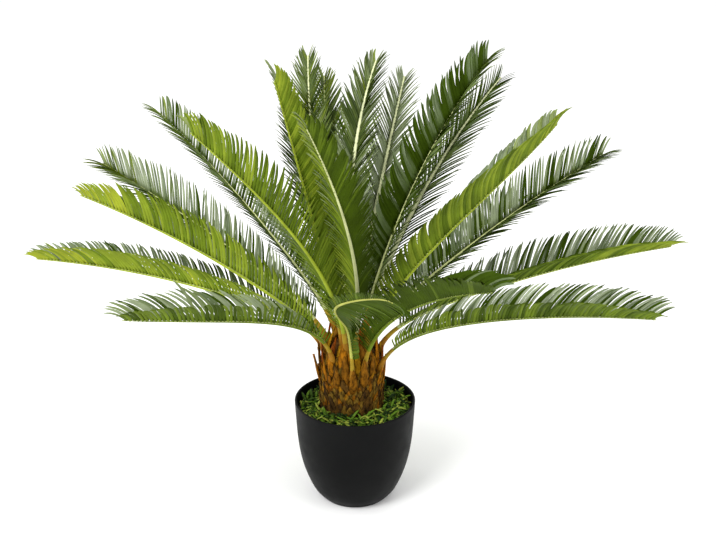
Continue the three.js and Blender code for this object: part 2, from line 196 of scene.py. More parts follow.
def meshFrom(name, points, faces, smooth=True):
    mesh = bpy.data.meshes.new(name)
    mesh.from_pydata(points, [], faces)
    mesh.polygons.foreach_set("use_smooth", [smooth] * len(mesh.polygons))
    mesh.update()
    return mesh


def turnedMesh(name, profile, sides):
    # Turns (radius, height) pairs about Z; a radius of 0 makes a pole
    points, rings = [], []
    for radius, height in profile:
        count = sides if radius else 1
        rings.append(range(len(points), len(points) + count))
        for i in range(count):
            turn = 2 * math.pi * i / sides
            points.append((radius * math.cos(turn), radius * math.sin(turn), height))
    faces = []
    for low, high in zip(rings, rings[1:]):
        for i in range(sides):
            k = i + 1
            corners = [low[i % len(low)], low[k % len(low)], high[k % len(high)], high[i % len(high)]]
            faces.append(list(dict.fromkeys(corners)))
    return meshFrom(name, points, faces)


# Finishes

def newFinish(name, roughness, gloss=0.15):
    finish = bpy.data.materials.new(name)
    finish.use_nodes = True
    shader = finish.node_tree.nodes["Principled BSDF"]
    shader.inputs["Roughness"].default_value = roughness
    shader.inputs["Specular IOR Level"].default_value = gloss
    return finish, finish.node_tree, shader


def objectNoise(tree, scale, detail=3.0, stretch=(1, 1, 1)):
    place = addNode(tree, "ShaderNodeTexCoord").outputs["Object"]
    mapped = addNode(tree, "ShaderNodeMapping", {"Vector": place, "Scale": stretch}).outputs[0]
    given = {"Vector": mapped, "Scale": scale, "Detail": detail}
    return addNode(tree, "ShaderNodeTexNoise", given).outputs["Fac"]


def rampOf(tree, value, stops):
    node = addNode(tree, "ShaderNodeValToRGB", {"Fac": value})
    while len(node.color_ramp.elements) < len(stops):
        node.color_ramp.elements.new(0.5)
    for element, (place, colour) in zip(node.color_ramp.elements, stops):
        element.position = place
        element.color = (*colour, 1)
    return node.outputs["Color"]


def driftOf(tree, value, low, high):
    # Runs from one colour to another over the middle of a noise's range
    return rampOf(tree, value, [(0.3, low), (0.7, high)])


def bumpFrom(tree, shader, height, strength, distance):
    given = {"Height": height, "Strength": strength, "Distance": distance}
    bump = addNode(tree, "ShaderNodeBump", given)
    tree.links.new(bump.outputs[0], shader.inputs["Normal"])


def tinted(colour, factor):
    return tuple(min(1.0, part * factor) for part in colour)


leafPlastic = {
    "gloss": 0.12, "driftScale": 45, "grainScale": 900, "strength": 0.25, "depth": 0.0004,
    "darkest": 0.8, "palest": 1.2,  # shares of the plain colour
}


def leafFinish(name, colour, roughness, gloss=leafPlastic["gloss"]):
    # Leaf plastic: one plain colour that drifts a little, with fine grain
    finish, tree, shader = newFinish(name, roughness, gloss)
    darkest, palest = tinted(colour, leafPlastic["darkest"]), tinted(colour, leafPlastic["palest"])
    drift = driftOf(tree, objectNoise(tree, leafPlastic["driftScale"]), darkest, palest)
    tree.links.new(drift, shader.inputs["Base Color"])
    grain = objectNoise(tree, leafPlastic["grainScale"], detail=2)
    bumpFrom(tree, shader, grain, leafPlastic["strength"], leafPlastic["depth"])
    return finish


bark = {
    "roughness": 0.75,
    "gloss": 0.03,
    "blotchScale": 260,
    "blotchStretch": (1, 1, 0.55),
    "blotches": [(0.33, 0.25), (0.5, 0.85), (0.72, 1.5)],  # noise value and share of the plain colour
    "fibreScale": 700,
    "fibreStretch": (1, 1, 0.18),
    "strength": 0.6,
    "depth": 0.0012,
}


def barkFinish(name, colour, roughness=bark["roughness"]):
    # Moulded bark: blotches from dark to light, and upright fibres
    finish, tree, shader = newFinish(name, roughness, bark["gloss"])
    blotch = objectNoise(tree, bark["blotchScale"], detail=6, stretch=bark["blotchStretch"])
    stops = [(value, tinted(colour, share)) for value, share in bark["blotches"]]
    tree.links.new(rampOf(tree, blotch, stops), shader.inputs["Base Color"])
    fibres = objectNoise(tree, bark["fibreScale"], detail=3, stretch=bark["fibreStretch"])
    bumpFrom(tree, shader, fibres, bark["strength"], bark["depth"])
    return finish


potPlastic = {
    "dark": (0.0024, 0.0026, 0.0026), "light": (0.0036, 0.0038, 0.0038), "driftScale": 14, "gloss": 0.07,
    "roughness": (0.44, 0.56), "satinScale": 60, "grainScale": 1400, "strength": 0.12, "depth": 0.0003,
}


def potFinish():
    # Moulded charcoal plastic with a fine satin grain
    smooth, rough = potPlastic["roughness"]
    finish, tree, shader = newFinish("potPlastic", rough, potPlastic["gloss"])
    drift = objectNoise(tree, potPlastic["driftScale"], detail=4)
    tree.links.new(driftOf(tree, drift, potPlastic["dark"], potPlastic["light"]), shader.inputs["Base Color"])
    satin = objectNoise(tree, potPlastic["satinScale"], detail=3)
    tree.links.new(driftOf(tree, satin, (smooth,) * 3, (rough,) * 3), shader.inputs["Roughness"])
    grain = objectNoise(tree, potPlastic["grainScale"], detail=2)
    bumpFrom(tree, shader, grain, potPlastic["strength"], potPlastic["depth"])
    return finish


castFilling = {
    "dark": (0.035, 0.03, 0.022), "light": (0.12, 0.11, 0.09), "patchScale": 220, "roughness": 0.95,
    "grainScale": 500, "strength": 0.5, "depth": 0.002,
}


def castFinish():
    finish, tree, shader = newFinish("castFilling", castFilling["roughness"])
    patches = objectNoise(tree, castFilling["patchScale"], detail=6)
    drift = driftOf(tree, patches, castFilling["dark"], castFilling["light"])
    tree.links.new(drift, shader.inputs["Base Color"])
    grain = objectNoise(tree, castFilling["grainScale"], detail=4)
    bumpFrom(tree, shader, grain, castFilling["strength"], castFilling["depth"])
    return finish


# Camera, light and floor

view = {"place": (0.0043, -1.990, 1.164), "pitch": 22.35, "lens": 79.24, "sensor": 36}

lamps = {
    "keyLamp": {"place": (-1.3, -1.9, 2.3), "size": 1.4, "power": 60},
    "topLamp": {"place": (0.4, 0.3, 2.9), "size": 2.2, "power": 34},
    "sideLamp": {"place": (2.0, -1.3, 1.5), "size": 1.4, "power": 16},
    "lowLamp": {"place": (-2.3, 0.4, 0.8), "size": 1.0, "power": 15},
}

studio = {
    "aim": Vector((0, 0, 0.35)), "skyStrength": 0.95,
    "floorHalf": 8.0, "floorColour": (0.93, 0.93, 0.93, 1), "floorRoughness": 0.9,
}


def setStage():
    scene = bpy.context.scene
    camera = bpy.data.objects.new("camera", bpy.data.cameras.new("camera"))
    scene.collection.objects.link(camera)
    camera.location = view["place"]
    camera.rotation_euler = (math.radians(90 - view["pitch"]), 0, 0)
    camera.data.lens = view["lens"]
    camera.data.sensor_width = view["sensor"]
    scene.camera = camera
    for name, lamp in lamps.items():
        light = bpy.data.lights.new(name, "AREA")
        light.shape = "DISK"
        light.size = lamp["size"]
        light.energy = lamp["power"]
        holder = bpy.data.objects.new(name, light)
        holder.location = lamp["place"]
        holder.rotation_euler = (studio["aim"] - holder.location).to_track_quat("-Z", "Y").to_euler()
        scene.collection.objects.link(holder)
    sky = bpy.data.worlds.new("studioSky")
    sky.use_nodes = True
    sky.node_tree.nodes["Background"].inputs["Color"].default_value = (1, 1, 1, 1)
    sky.node_tree.nodes["Background"].inputs["Strength"].default_value = studio["skyStrength"]
    scene.world = sky
    scene.view_settings.view_transform = "Standard"
    half = studio["floorHalf"]
    corners = [(-half, -half, 0), (half, -half, 0), (half, half, 0), (-half, half, 0)]
    floor = newPiece("floor", meshFrom("floor", corners, [(0, 1, 2, 3)], smooth=False))
    finish, _, shader = newFinish("paleFloor", studio["floorRoughness"])
    shader.inputs["Base Color"].default_value = studio["floorColour"]
    floor.data.materials.append(finish)


setStage()
print("stage set")


# Pot

pot = {
    "sides": 128, "footRadius": 0.046, "wall": 0.003, "floor": 0.004, "lip": 0.0012,
    "lipSteps": 5, "stepsBetween": 6,
    "swell": [(0.049, 0.0025), (0.061, 0.018), (0.0735, 0.050), (0.0805, 0.085), (0.084, 0.128)],
}


def smoothLine(points, steps):
    # Runs a Catmull-Rom curve through (radius, height) pairs
    ends = [points[0], *points, points[-1]]
    line = []
    for a, b, c, d in zip(ends, ends[1:], ends[2:], ends[3:]):
        for i in range(steps):
            t = i / steps
            weights = (-t + 2 * t**2 - t**3, 2 - 5 * t**2 + 3 * t**3, t + 4 * t**2 - 3 * t**3, t**3 - t**2)
            line.append(tuple(sum(w * p[k] for w, p in zip(weights, (a, b, c, d))) / 2 for k in (0, 1)))
    return [*line, points[-1]]


def makePot():
    height, rimRadius = potHigh.z, potHigh.x
    shoulder = height - pot["lip"]
    outline = [(pot["footRadius"], 0.0), *pot["swell"], (rimRadius, shoulder)]
    outer = smoothLine(outline, pot["stepsBetween"])
    inner = [(r - pot["wall"], z) for r, z in reversed(outer) if z > pot["floor"]]
    middle, half = rimRadius - pot["wall"] / 2, pot["wall"] / 2
    lip = []
    for i in range(1, pot["lipSteps"]):
        turn = math.pi * i / pot["lipSteps"]
        lip.append((middle + half * math.cos(turn), shoulder + pot["lip"] * math.sin(turn)))
    bottom = [(inner[-1][0] - pot["floor"], pot["floor"]), (0, pot["floor"])]
    profile = [(0, 0), *outer, *lip, *inner, *bottom]
    piece = newPiece("potShell", turnedMesh("potShell", profile, pot["sides"]))
    piece.data.materials.append(potFinish())
    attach(piece, "root")
    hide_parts("pot")


makePot()
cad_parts["filling"].data.materials.clear()
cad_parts["filling"].data.materials.append(castFinish())
print("pot made")


# Trunk: a rough core, set all over with scales and, round its head, with dry leaf bases

trunk = {
    "offsetX": -0.005, "radius": 0.046, "domeBase": 0.186, "domeRise": 0.062,
    "coreInset": 0.0025, "coreSides": 120, "coreRows": 60,
    "coreTip": 0.004,  # least radius below the pole
    "coreColour": (0.06, 0.028, 0.007), "coreRoughness": 0.85,
    "relief": 0.0016, "reliefScale": 170,
    "reliefFractal": (0.8, 2.0, 4),  # roughness, step between octaves and their number
    "evenTip": 0.005,  # no relief within this radius
    "evenFoot": 0.001,  # nor below this height
}

trunkScale = {
    "count": 620, "low": 0.134, "high": 0.218, "length": 0.0145, "width": 0.0088, "lean": 6, "seed": 11,
    "pointedness": 2.6, "bulge": 0.15, "curl": 0.04,
    "shades": {
        "barkGolden": (0.20, 0.088, 0.004),
        "barkOrange": (0.165, 0.060, 0.003),
        "barkTan": (0.13, 0.074, 0.010),
        "barkBrown": (0.070, 0.034, 0.006),
        "barkDark": (0.040, 0.021, 0.006),
    },
}

leafBase = {
    "count": 46, "low": 0.176, "high": 0.232, "length": 0.040, "width": 0.0130, "lean": 9, "seed": 23,
    "pointedness": 1.6, "bulge": 0.2, "curl": 0.03,
    "shades": {
        "baseGolden": (0.33, 0.165, 0.006),
        "baseOrange": (0.28, 0.105, 0.004),
        "baseRed": (0.19, 0.045, 0.003),
        "baseBrown": (0.15, 0.060, 0.004),
    },
}

# Shape of a scale, a unit long and wide
scaleForm = {
    "rows": 6, "across": (-1, -0.5, 0, 0.5, 1), "footWidth": 0.7, "roundness": 0.7, "tipHalf": 0.03,
    "edgeFall": 0.75,  # how far the ridge falls off to its edges
    "ridge": 0.55, "ridgeSwell": 0.45, "swellStart": 0.25, "keel": 0.5,
}

# How the scales stray from an even spiral
spiral = {
    "seat": 0.003,  # depth of their feet in the trunk
    "turn": 0.05,  # radians round the trunk
    "lean": (-5, 7),  # degrees
    "sway": 0.16,  # radians to either side
    "size": (0.8, 1.2),
    "steepest": 0.02,  # least share of the dome's slope, squared
    "chance": 0.8,  # part that chance has in the shade
    "darkFoot": 1.4,  # shades by which the lowest are darker
    "darkUpTo": 0.6,  # share of the spiral
}


def domeRadius(height):
    climb = max(0.0, (height - trunk["domeBase"]) / trunk["domeRise"])
    return trunk["radius"] * math.sqrt(max(0.0, 1 - climb**2))


def makeTrunkCore():
    top = trunk["domeBase"] + trunk["domeRise"] - trunk["coreInset"]
    profile = [(0, trunkLow.z)]
    for i in range(trunk["coreRows"]):
        height = trunkLow.z + (top - trunkLow.z) * i / trunk["coreRows"]
        profile.append((max(trunk["coreTip"], domeRadius(height) - trunk["coreInset"]), height))
    profile.append((0, top))
    mesh = turnedMesh("trunkCore", profile, trunk["coreSides"])
    for vertex in mesh.vertices:
        out = Vector((vertex.co.x, vertex.co.y, 0))
        if out.length > trunk["evenTip"] and vertex.co.z > trunkLow.z + trunk["evenFoot"]:
            rough = noise.fractal(vertex.co * trunk["reliefScale"], *trunk["reliefFractal"])
            vertex.co += out.normalized() * trunk["relief"] * rough
        vertex.co.x += trunk["offsetX"]
    piece = newPiece("trunkCore", mesh)
    mesh.materials.append(barkFinish("barkCore", trunk["coreColour"], trunk["coreRoughness"]))
    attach(piece, "root")
    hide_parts("trunk")


def scaleMesh(name, rule):
    # One scale along +X with its face to +Z
    rows, across = scaleForm["rows"], scaleForm["across"]
    points, faces = [], []
    for i in range(rows + 1):
        s = i / rows
        taper = (1 - s ** rule["pointedness"]) ** scaleForm["roundness"]
        half = 0.5 * min(1.0, scaleForm["footWidth"] + s) * taper if i < rows else scaleForm["tipHalf"]
        lift = rule["curl"] * s**2
        swell = scaleForm["ridgeSwell"] * math.sin(math.pi * min(1, scaleForm["swellStart"] + s))
        for y in across:
            ridge = rule["bulge"] * (1 - scaleForm["edgeFall"] * y**2) * (scaleForm["ridge"] + swell)
            points.append((s, y * half, lift + ridge))
        points.append((s, 0, lift - rule["bulge"] * scaleForm["keel"]))
    width = len(across) + 1
    for i in range(rows):
        low, high = i * width, (i + 1) * width
        for j in range(width):
            k = (j + 1) % width
            faces.append((low + j, high + j, high + k, low + k))
    faces.append(tuple(range(width)))
    faces.append(tuple(rows * width + j for j in reversed(range(width))))
    mesh = meshFrom(name, points, faces)
    shape = bmesh.new()
    shape.from_mesh(mesh)
    bmesh.ops.recalc_face_normals(shape, faces=shape.faces)
    shape.to_mesh(mesh)
    shape.free()
    return mesh


def spiralTree(name, finishes):
    # Seats copies of a scale in a golden-angle spiral up the trunk
    n = NodeMaker(name, {
        "Object": ("Scale Shape",), "Int": ("Count", "Seed"),
        "Float": ("Low", "High", "Length", "Width", "Lean", "Radius", "Dome Base", "Dome Rise", "Offset X")})
    given = n.given
    leanSeed, swaySeed, sizeSeed, shadeSeed = (n.math("ADD", given["Seed"], k) for k in (1, 2, 3, 4))
    index = n.out("GeometryNodeInputIndex")
    share = n.math("DIVIDE", index, given["Count"])
    goldenTurn = math.pi * (3 - math.sqrt(5))
    stray = n.random(-spiral["turn"], spiral["turn"], given["Seed"])
    turn = n.math("ADD", n.math("MULTIPLY", index, goldenTurn), stray)
    height = n.between(share, 0.0, 1.0, given["Low"], given["High"])
    above = n.math("SUBTRACT", height, given["Dome Base"])
    climb = n.math("MAXIMUM", n.math("DIVIDE", above, given["Dome Rise"]), 0)
    level = n.math("SUBTRACT", 1.0, n.math("MULTIPLY", climb, climb))
    level = n.math("SQRT", n.math("MAXIMUM", level, spiral["steepest"]))
    radius = n.math("MULTIPLY", level, given["Radius"])
    ray = n.joinedXYZ(n.math("COSINE", turn), n.math("SINE", turn), 0.0)
    centre = n.joinedXYZ(given["Offset X"], 0.0, height)
    place = n.vector("ADD", n.scaled(ray, n.math("SUBTRACT", radius, spiral["seat"])), centre)
    points = n.out("GeometryNodePoints", {"Count": given["Count"], "Position": place})
    steep = n.math("MULTIPLY", climb, n.math("DIVIDE", given["Radius"], given["Dome Rise"]))
    face = n.vector("NORMALIZE", n.vector("ADD", n.scaled(ray, level), n.joinedXYZ(0.0, 0.0, steep)))
    across = n.joinedXYZ(n.math("MULTIPLY", n.math("SINE", turn), -1), n.math("COSINE", turn), 0.0)
    upward = n.vector("CROSS_PRODUCT", face, across)
    lean = n.math("RADIANS", n.math("ADD", given["Lean"], n.random(*spiral["lean"], leanSeed)))
    along = n.vector("ADD", n.scaled(upward, n.math("COSINE", lean)), n.scaled(face, n.math("SINE", lean)))
    turned = n.spun(n.turnedTo(along, face), (0, 0, 1), n.random(-spiral["sway"], spiral["sway"], swaySeed))
    size = n.random(*spiral["size"], sizeSeed)
    wide = n.math("MULTIPLY", given["Width"], size)
    scale = n.joinedXYZ(n.math("MULTIPLY", given["Length"], size), wide, wide)
    mood = n.math("MULTIPLY", n.random(-0.5, len(finishes) - 0.5, shadeSeed), spiral["chance"])
    darker = n.between(share, 0.0, spiral["darkUpTo"], spiral["darkFoot"], 0.0)
    shade = n.math("MINIMUM", n.math("ROUND", n.math("ADD", mood, darker)), len(finishes) - 1)
    whole = n.realized(n.copies(points, shade, given["Scale Shape"], turned, scale))
    return n.endWith(n.paintShades(whole, finishes))


def makeScales(name, rule):
    finishes = [barkFinish(*shade) for shade in rule["shades"].items()]
    source = newPiece(name + "Shape", scaleMesh(name + "Shape", rule))
    piece = newPiece(name, bpy.data.meshes.new(name))
    runTree(piece, spiralTree(name + "Spiral", finishes), {**trunk, **rule, "scaleShape": source})
    bpy.data.objects.remove(source)
    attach(piece, "root")
    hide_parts("trunk")


makeTrunkCore()
makeScales("trunkScales", trunkScale)
makeScales("leafBases", leafBase)
print("trunk made")


# Moss: loose dyed strips, strewn over a mound that is highest in front of the trunk

moss = {
    "innerRadius": 0.0475, "outerRadius": 0.0775, "depth": 0.004, "rings": 8, "sides": 64,
    "mound": 0.008, "moundFront": 1.0, "moundBack": 0.3,
    "density": 95000, "length": 0.018, "width": 0.0050, "size": (0.5, 1.25),
    "lean": (-1.65, -0.45),  # radians from upright
    "rimZone": 0.067,
    "rimBlend": 0.01,
    "rimSpread": 0.8,  # radians that a strip at the rim may turn away from the middle
    "seed": 5,
    "shades": {
        "mossDark": ((0.010, 0.026, 0.003), 0.7),
        "mossGreen": ((0.036, 0.076, 0.006), 0.65),
        "mossFresh": ((0.086, 0.165, 0.010), 0.6),
        "mossPale": ((0.22, 0.27, 0.035), 0.6),
    },
}

# Shape of a strip, a unit long and wide
mossBlade = {
    "steps": 5, "pointedness": 2.5, "tipHalf": 0.06, "bend": 1.1, "curl": 0.45,
    "margin": 0.02, "thickness": 0.05,
}


def bladeMesh():
    # One dyed strip that curls over, with two sides
    steps, points, faces = mossBlade["steps"], [], []
    margin, thickness = mossBlade["margin"], mossBlade["thickness"]
    for i in range(steps + 1):
        s = i / steps
        half = 0.5 * (1 - s ** mossBlade["pointedness"]) ** 0.5 if i < steps else mossBlade["tipHalf"]
        bend = mossBlade["bend"] * s
        forward, height = mossBlade["curl"] * (1 - math.cos(bend)), math.sin(bend) / mossBlade["bend"]
        for x, y in ((-half, margin), (0, -thickness), (half, margin), (0, thickness)):
            points.append((x, forward + y, height))
    for i in range(steps):
        for j in range(4):
            k = (j + 1) % 4
            faces.append((i * 4 + j, i * 4 + k, i * 4 + 4 + k, i * 4 + 4 + j))
    faces.append((3, 2, 1, 0))
    faces.append(tuple(steps * 4 + j for j in range(4)))
    return meshFrom("mossBlade", points, faces)


def mossTree(finishes):
    # Strips in every direction, but turned inwards at the rim
    n = NodeMaker("mossBlades", {
        "Object": ("Blade",), "Int": ("Seed",),
        "Float": ("Density", "Length", "Width", "Rim Zone", "Rim Blend", "Rim Spread")})
    given = n.given
    yawSeed, leanSeed, sizeSeed, shadeSeed = (n.math("ADD", given["Seed"], k) for k in (1, 2, 3, 4))
    spread = n.add("GeometryNodeDistributePointsOnFaces",
                   {"Mesh": given["Geometry"], "Density": given["Density"], "Seed": given["Seed"]})
    place = n.out("GeometryNodeInputPosition")
    parts = n.add("ShaderNodeSeparateXYZ", {"Vector": place}).outputs
    inward = n.math("ADD", n.math("ARCTAN2", parts["Y"], parts["X"]), math.pi / 2)
    radius = n.vector("LENGTH", n.joinedXYZ(parts["X"], parts["Y"], 0.0))
    rimEnd = n.math("ADD", given["Rim Zone"], given["Rim Blend"])
    freedom = n.between(radius, given["Rim Zone"], rimEnd, math.pi, given["Rim Spread"])
    yaw = n.math("ADD", inward, n.math("MULTIPLY", n.random(-1, 1, yawSeed), freedom))
    lean = n.random(*moss["lean"], leanSeed)
    turned = n.out("FunctionNodeEulerToRotation", {"Euler": n.joinedXYZ(lean, 0.0, yaw)})
    size = n.random(*moss["size"], sizeSeed)
    wide = n.math("MULTIPLY", given["Width"], size)
    long = n.math("MULTIPLY", given["Length"], size)
    shade = n.math("FLOOR", n.random(0, len(finishes) - 0.001, shadeSeed))
    scale = n.joinedXYZ(wide, long, long)
    whole = n.realized(n.copies(spread.outputs["Points"], shade, given["Blade"], turned, scale))
    return n.endWith(n.paintShades(whole, finishes))


def makeMoss():
    points, faces = [], []
    sides = moss["sides"]
    even, tilt = (moss["moundFront"] + moss["moundBack"]) / 2, (moss["moundFront"] - moss["moundBack"]) / 2
    for ring in range(moss["rings"] + 1):
        out = ring / moss["rings"]
        radius = moss["innerRadius"] + (moss["outerRadius"] - moss["innerRadius"]) * out
        for i in range(sides):
            turn = 2 * math.pi * i / sides
            x = radius * math.cos(turn) + trunk["offsetX"] * (1 - out)
            bank = moss["mound"] * (1 - out) ** 2 * (even - tilt * math.sin(turn))
            points.append((x, radius * math.sin(turn), mossLow.z + moss["depth"] + bank))
    for ring in range(moss["rings"]):
        for i in range(sides):
            a, b = ring * sides + i, ring * sides + (i + 1) % sides
            faces.append((a, a + sides, b + sides, b))
    finishes = [leafFinish(name, *look) for name, look in moss["shades"].items()]
    blade = newPiece("mossBlade", bladeMesh())
    piece = newPiece("mossTufts", meshFrom("mossTufts", points, faces))
    runTree(piece, mossTree(finishes), {**moss, "blade": blade})
    bpy.data.objects.remove(blade)
    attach(piece, "root")
    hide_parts("moss")
    print("moss made with", len(piece.data.polygons), "faces")


makeMoss()


# Fronds: heading, rise, arch, sway and roll in degrees, length and foot radius in metres, then leaf
# shade from 0, deep green, to 4, yellow, how many shades its tip is yellower, rib shade from 0, leaf
# green, to 3, whitish with painted sheen, how strongly its leaflets clump, and the values in which it leaves
# the rule

frondValues = (
    "heading", "rise", "arch", "sway", "roll", "length", "foot", "tone", "yellowTip", "ribTone", "clump",
)
frondRule = {
    "fold": 56,  # degrees by which the rows stand up
    "sweep": 60,  # degrees between rib and leaflets
    "reach": 1, "leftReach": 1, "rightReach": 1,  # leaflet length
    "taper": 0,  # share by which the leaflets shorten at the tip
    "pace": 1,  # leaflet spacing
    "broad": 1, "leftBroad": 1, "rightBroad": 1,  # leaflet width
    "rightShade": 0,  # painted light and shade: shades by which the right row is lighter and yellower than the left, darker where negative
    "leftYellow": 1, "rightYellow": 1,  # how far a row follows the yellow tip
    "leftPale": 0, "rightPale": 0,  # share of leaflets in a row that take the pale finish, painted sheen
    "stout": 1,  # rib width
    "bendShare": 0.07, "bendPower": 1,  # where and how sharply the rib bends out of its steep foot
    "swing": 0,  # degrees that the rib swings to one side and back
}
frondRows = {
    "low": [
        (158, 15.6, 14.4, 13.2, 21, 0.458, 0.041, 2.5, 1.2, 1, 0.2,
         {"fold": 66, "leftReach": 0.84, "rightReach": 1.1, "taper": 0.15, "pace": 0.82, "broad": 0.85,
          "leftBroad": 1.12, "rightShade": -1.3, "rightYellow": 0}),
        (228, 10.5, -5.5, -12.3, 3, 0.384, 0.038, 0.9, 0.4, 0, 1.3,
         {"fold": 64, "leftReach": 0.9, "broad": 1.05, "taper": 0.1, "rightPale": 0.3, "bendShare": 0.19}),
        (272, 50, 34.7, 6.9, -45, 0.403, 0.045, -0.5, 0.0, 2, 0.3,
         {"fold": 20, "rightReach": 0.4, "pace": 0.85, "broad": 1.3, "rightShade": 0.1, "stout": 0.8,
          "bendShare": 0.25, "bendPower": 8, "swing": -23.4}),
        (294.5, 42.9, 22.1, 7, 0, 0.400, 0.042, -0.5, 0.4, 0, 0.2,
         {"rightReach": 1.2, "pace": 0.85, "broad": 1.3, "bendShare": 0.15}),
        (335, 22.4, 12.3, -9, 3, 0.436, 0.044, 0.8, 0.3, 0, 1.3,
         {"fold": 66, "pace": 0.78, "broad": 1.1, "leftBroad": 0.83, "rightBroad": 0.8, "rightShade": 0.4,
          "leftPale": 0.35, "bendShare": 0.12}),
        (22.6, 15, 9.3, -14, 7, 0.467, 0.041, 0.9, 2.8, 1, 0.3,
         {"fold": 66, "reach": 1.1, "taper": 0.15, "pace": 0.78, "broad": 1.18, "leftBroad": 0.78,
          "rightBroad": 0.82, "leftYellow": 0, "leftPale": 0.3}),
        (50, 24, 18, 0, 0, 0.390, 0.041, 1.1, 0.5, 1, 0.8),
        (82, 26, 20, 0, 0, 0.380, 0.041, 1.2, 0.8, 1, 0.8),
        (113, 25, 20, 0, 0, 0.380, 0.041, 1.0, 1.0, 1, 0.8),
        (143, 24, 18, 0, 0, 0.390, 0.041, 1.1, 0.6, 1, 0.8),
    ],
    "middle": [
        (158, 35.5, 18.5, -11.2, -22, 0.437, 0.034, 1.3, 0.6, 1, 0.6,
         {"pace": 0.78, "broad": 1.25, "rightBroad": 0.68, "rightPale": 0.4}),
        (180, 42.4, 24, -11.5, 40, 0.408, 0.036, 2.1, 1.6, 1, 0.3,
         {"fold": 66, "taper": 0.4, "pace": 0.82, "broad": 0.85, "leftBroad": 1.08, "rightShade": -0.9,
          "rightYellow": 0}),
        (257.9, 65.9, 21.9, -78.4, 30, 0.438, 0.031, 1.5, 1.0, 1, 0.2,
         {"reach": 1.1, "pace": 0.85, "broad": 0.9}),
        (281, 58.7, 0, -50, 2, 0.445, 0.029, -0.4, 0.8, 3, 0.2,
         {"sweep": 50, "pace": 0.8, "broad": 1.25, "rightShade": 2.4, "stout": 0.8}),
        (316.4, 65.2, 35.4, 89.3, -22, 0.430, 0.028, 1.2, 0.8, 1, 0.4,
         {"pace": 0.8, "broad": 1.2, "rightShade": 1.0}),
        (27, 34, 11, -2.5, 21.5, 0.440, 0.034, 0.8, 0.2, 1, 0.3,
         {"pace": 0.78, "broad": 1.12, "leftBroad": 0.8, "leftPale": 0.3}),
        (50.4, 59, 30, -2.4, 40, 0.445, 0.027, 0.8, 0.2, 3, 0.3,
         {"fold": 66, "sweep": 50, "stout": 1.3, "taper": 0.2}),
        (137, 39.3, 14, 0, -8, 0.450, 0.028, 0.9, 0.6, 1, 0.4),
    ],
    "top": [
        (238, 71, -2, -16, -6, 0.423, 0.022, 2.0, 0.6, 1, 0.3,
         {"sweep": 50, "pace": 0.8, "broad": 1.15}),
        (116, 54.7, 6.4, -24.8, -9, 0.421, 0.019, 1.8, 0.4, 3, 0.3,
         {"sweep": 50, "pace": 0.85, "broad": 1.2, "stout": 1.2, "taper": 0.3}),
        (107.2, 56.4, 17.2, -16, 3, 0.399, 0.009, 1.8, 0.3, 2, 0.3,
         {"sweep": 50, "pace": 0.8, "broad": 1.2, "stout": 1.1, "taper": 0.3}),
        (96.7, 68.3, 28.8, -28.5, 6, 0.414, 0.0245, 1.4, 0.4, 3, 0.3,
         {"sweep": 50, "pace": 0.85, "broad": 1.35, "leftPale": 0.4, "rightPale": 0.2, "stout": 1.4,
          "taper": 0.2}),
        (73, 54, 21.6, 4.3, 10, 0.419, 0.015, 2.4, 0.3, 3, 0.3,
         {"sweep": 50, "broad": 1.2, "leftPale": 1, "rightPale": 1, "stout": 1.3, "taper": 0.2}),
        (40.2, 71.9, 28.2, -3.6, 12, 0.428, 0.020, 0.1, 0.3, 0, 0.2,
         {"sweep": 58, "pace": 0.85, "broad": 1.25, "rightShade": 0.8}),
        (112.4, 50.5, 23.1, -12.3, 0, 0.376, 0.033, 0.8, 0.3, 1, 0.6,
         {"pace": 0.75, "broad": 1.45}),
    ],
}

rib = {
    "segments": 96, "sides": 10, "sink": 0.010, "steepFoot": 78, "footWidth": 0.0060, "tipWidth": 0.0016,
    "flare": 1.0, "flareShare": 0.03, "flatness": 0.85, "paleWidening": 0.11,
    "rootShares": (-0.022, 0.012), "rootWidth": 0.2,  # where the foot narrows, and how far
    "stalkFrom": 0.05, "leafyFrom": 0.10,
    "innerFacing": 0.2,  # how far a face is turned up to count as the inner side
    "foot": ((0.26, 0.12, 0.008), 0.6),
    "stalk": ((0.30, 0.20, 0.014), 0.55),
    "inner": ((0.48, 0.52, 0.22), 0.45),
    # Pale colour with painted sheen, on the upper side of the palest ribs
    "whitish": ((0.66, 0.69, 0.40), 0.45),
    "outerShades": {
        "ribLeafy": ((0.12, 0.17, 0.008), 0.5),
        "ribLime": ((0.26, 0.32, 0.02), 0.5),
        "ribStraw": ((0.34, 0.35, 0.07), 0.5),
        # Pale colour with painted sheen, on the outer side of the palest ribs
        "ribPale": ((0.50, 0.53, 0.25), 0.4),
    },
}

leaflet = {
    "spacing": 0.0060, "first": 0.10, "last": 0.995, "length": 0.053, "lengthRange": (0.97, 1.02),
    "evenWidth": 0.9,  # a width is halfway between the leaflet's own and this share of the full one
    "width": 0.082,  # share of the length
    "sections": (0, 0.17, 0.36, 0.55, 0.72, 0.86, 0.95, 1),
    "footBroad": 1.25, "footNarrowing": 1.5, "bluntness": 5, "tipRoundness": 0.65, "tipHalf": 0.0012,
    "channel": 0.5,  # how far the margins stand up, in half widths
    "thickness": 0.004, "keel": 0.05, "bend": 30, "droop": 0.26,
    "growth": [
        (0.10, 0.44), (0.29, 0.89), (0.51, 1.09), (0.71, 1.12), (0.85, 1.0), (0.94, 0.90), (1.0, 0.54),
    ],
    "sweepLoss": 24, "lossPower": 4, "clump": 9, "clumpsPerRib": 9.0, "jitter": 1.2, "twist": 0.3,
    "waveSteps": (7.31, 31.7),  # between fronds and between rows
    "strays": 0.001, "straySweep": 14.0, "strayFold": 18.0,
    "beside": 0.7,  # share of the rib's half width
    "taperFrom": 0.8, "shadeSpread": 1.1,
    "yellowShares": (0.66, 0.96),  # the yellow tip comes in between these shares
    "seed": 3, "rowSeed": 50,
    "seedSteps": {"stray": 0, "sweep": 1, "fold": 2, "twist": 3, "size": 4, "shade": 6, "pale": 7},
}
